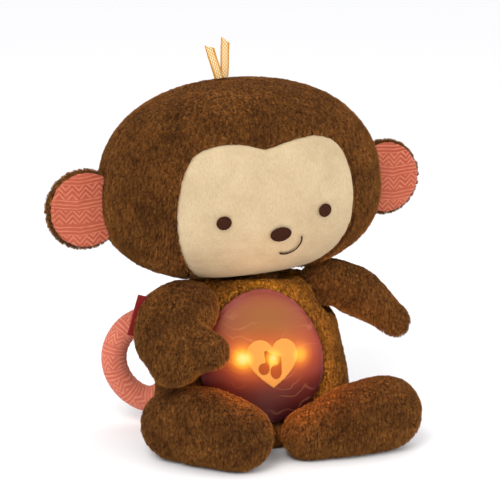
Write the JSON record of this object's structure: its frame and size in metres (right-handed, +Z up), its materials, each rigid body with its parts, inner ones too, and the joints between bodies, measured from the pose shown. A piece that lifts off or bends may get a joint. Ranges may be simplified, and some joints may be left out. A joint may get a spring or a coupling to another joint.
{
  "type": "light-up plush monkey",
  "caption": "Sitting stuffed monkey with a wide turning head, floppy limbs, a curled tail and a round belly panel that lights up and plays when pressed.",
  "frame": {"origin": "middle of the torso's flat seat, on the surface that the toy sits on", "axes": "+Z up, the monkey faces -Y, its left hand is on +X"},
  "size_m": [0.2772, 0.1678, 0.2823],
  "materials": {
    "plush": "matte",
    "velour": "matte",
    "cotton_print": "matte",
    "thread": "satin",
    "gold_ribbon": "satin",
    "red_tag": "matte",
    "belly_cover": "satin",
    "heart_cover": "satin",
    "case_plastic": "satin",
    "diffuser": "satin",
    "led": "gloss",
    "board": "satin",
    "dark_plastic": "satin",
    "wire": "satin",
    "cell": "gloss",
    "steel": "satin",
    "hook_and_loop": "matte"
  },
  "bodies": {
    "torso": {"torso_plush": "plush", "torso_hook_strip": "hook_and_loop", "front_shell": "case_plastic", "rear_shell": "case_plastic", "case_screw_1": "steel", "case_screw_2": "steel", "case_screw_3": "steel", "case_screw_4": "steel", "circuit_board": "board", "led_right": "led", "led_middle": "led", "led_left": "led", "tact_switch": "dark_plastic", "speaker": "dark_plastic", "speaker_wire": "wire", "battery_wire": "wire", "battery_1": "cell", "battery_2": "cell", "battery_3": "cell", "contact_spring_plate": "steel", "contact_button_plate": "steel", "battery_door": "case_plastic", "door_screw": "steel"},
    "belly": {"belly_panel": "belly_cover", "heart_badge": "heart_cover", "press_plate": "diffuser", "press_spring": "steel"},
    "neck": {"neck_plush": "plush"},
    "head": {"head_plush": "plush", "face_panel": "velour", "eye_right": "thread", "eye_left": "thread", "nose": "thread", "mouth": "thread", "ribbon_right": "gold_ribbon", "ribbon_left": "gold_ribbon"},
    "ear_right": {"ear_right_back": "plush", "ear_right_lining": "cotton_print"},
    "ear_left": {"ear_left_back": "plush", "ear_left_lining": "cotton_print"},
    "arm_right": {"arm_right": "plush", "woven_tag": "red_tag"},
    "arm_left": {"arm_left": "plush"},
    "leg_right": {"leg_right": "plush"},
    "leg_left": {"leg_left": "plush"},
    "tail": {"tail": "cotton_print"},
    "back_flap": {"back_flap": "plush", "flap_loop_strip": "hook_and_loop"},
    "volume_knob": {"volume_knob": "dark_plastic"}
  },
  "joints": [
    {"name": "head_turn", "type": "hinge", "parent": "torso", "child": "neck", "pos_m": [0, 0.002, 0.12], "axis": [0, 0, 1], "range_deg": [-30, 30], "stiffness_Nm_per_rad": 0.4},
    {"name": "head_nod", "type": "hinge", "parent": "neck", "child": "head", "pos_m": [0, 0.002, 0.12], "axis": [1, 0, 0], "range_deg": [-5, 6], "stiffness_Nm_per_rad": 3},
    {"name": "ear_right_fold", "type": "hinge", "parent": "head", "child": "ear_right", "pos_m": [-0.1065, -0.006, 0.1705], "axis": [0, 0, 1], "range_deg": [-12, 12], "stiffness_Nm_per_rad": 0.05},
    {"name": "ear_left_fold", "type": "hinge", "parent": "head", "child": "ear_left", "pos_m": [0.0925, 0.018, 0.1775], "axis": [0, 0, -1], "range_deg": [-12, 12], "stiffness_Nm_per_rad": 0.05},
    {"name": "arm_right_swing", "type": "hinge", "parent": "torso", "child": "arm_right", "pos_m": [-0.054, -0.026, 0.1005], "axis": [-1, 0, 0], "range_deg": [0, 24], "stiffness_Nm_per_rad": 0.15},
    {"name": "arm_left_swing", "type": "hinge", "parent": "torso", "child": "arm_left", "pos_m": [0.05, -0.01, 0.106], "axis": [0, 0, -1], "range_deg": [-5, 20], "stiffness_Nm_per_rad": 0.15},
    {"name": "leg_right_swing", "type": "hinge", "parent": "torso", "child": "leg_right", "pos_m": [-0.064, -0.038, 0.0252], "axis": [0, 0, -1], "range_deg": [0, 70], "stiffness_Nm_per_rad": 0.1},
    {"name": "leg_left_swing", "type": "hinge", "parent": "torso", "child": "leg_left", "pos_m": [0.021, -0.064, 0.0183], "axis": [0, 0, -1], "range_deg": [0, 60], "stiffness_Nm_per_rad": 0.1},
    {"name": "tail_bend", "type": "hinge", "parent": "torso", "child": "tail", "pos_m": [-0.05, 0.037, 0.024], "axis": [0, 0, -1], "range_deg": [-4, 14], "stiffness_Nm_per_rad": 0.2},
    {"name": "belly_press", "type": "slide", "parent": "torso", "child": "belly", "axis": [0, 1, 0], "range_m": [0, 0.0025], "stiffness_N_per_m": 500, "deforming": ["press_spring"]},
    {"name": "volume_slide", "type": "slide", "parent": "torso", "child": "volume_knob", "axis": [1, 0, 0], "range_m": [-0.003, 0.003]},
    {"name": "back_flap_open", "type": "hinge", "parent": "torso", "child": "back_flap", "pos_m": [0.0445, 0.0385, 0.061], "axis": [0, 0, -1], "range_deg": [0, 100]}
  ]
}
